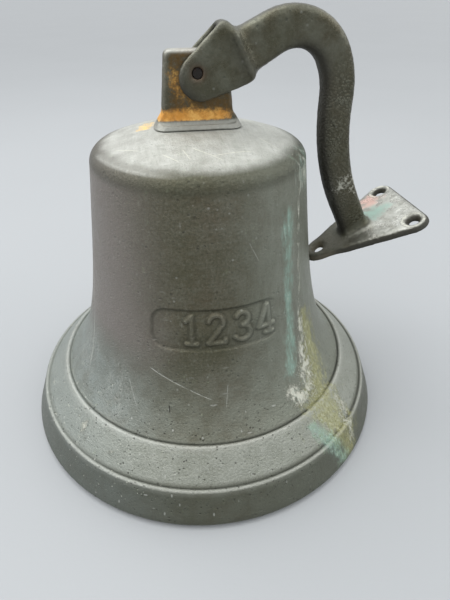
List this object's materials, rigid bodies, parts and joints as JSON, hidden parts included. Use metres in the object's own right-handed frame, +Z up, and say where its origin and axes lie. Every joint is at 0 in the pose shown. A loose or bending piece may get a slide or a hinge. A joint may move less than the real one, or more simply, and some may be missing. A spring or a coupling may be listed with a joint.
{
  "type": "ship bell",
  "caption": "Cast bronze ship's bell with banded flared mouth, hinged clapper inside, and a gooseneck wall bracket that swings on a pin through the crown lug.",
  "frame": {"origin": "centre of the bell's mouth, in the plane of the rim on which it stands", "axes": "+Z up along the bell's axis; +X towards the side on which the bracket leans; the bracket's pin and the clapper's pin lie along Y"},
  "size_m": [0.27, 0.254, 0.2484],
  "materials": {
    "bell_shell": "aged cast bronze with a grey-brown patina and verdigris",
    "hanger_lug": "aged cast bronze with an ochre stain at its foot",
    "crown_washer": "dull plain steel",
    "crown_nut": "dull bronze",
    "crown_staple": "dull cast bronze",
    "staple_pin": "dull plain steel",
    "staple_split_pin": "dull plain steel",
    "wall_bracket": "aged cast bronze, dark, with a pebbled casting skin",
    "pivot_pin": "dark iron, slightly rusty",
    "clapper_rod": "dark forged iron",
    "clapper_ball": "dark cast iron",
    "lanyard_eye": "dull cast bronze"
  },
  "bodies": {
    "bell": {"bell_shell": "bell_shell", "hanger_lug": "hanger_lug", "crown_washer": "crown_washer", "crown_nut": "crown_nut", "crown_staple": "crown_staple", "staple_pin": "staple_pin", "staple_split_pin": "staple_split_pin"},
    "bracket": {"wall_bracket": "wall_bracket", "pivot_pin": "pivot_pin"},
    "clapper": {"clapper_rod": "clapper_rod", "clapper_ball": "clapper_ball", "lanyard_eye": "lanyard_eye"}
  },
  "joints": [
    {"name": "bracket_swing", "type": "hinge", "parent": "bell", "child": "bracket", "pos_m": [0, 0, 0.21905], "axis": [0, -1, 0], "range_deg": [0, 150]},
    {"name": "clapper_swing", "type": "hinge", "parent": "bell", "child": "clapper", "pos_m": [0, 0, 0.15893], "axis": [0, 1, 0], "range_deg": [-29, 29]}
  ]
}
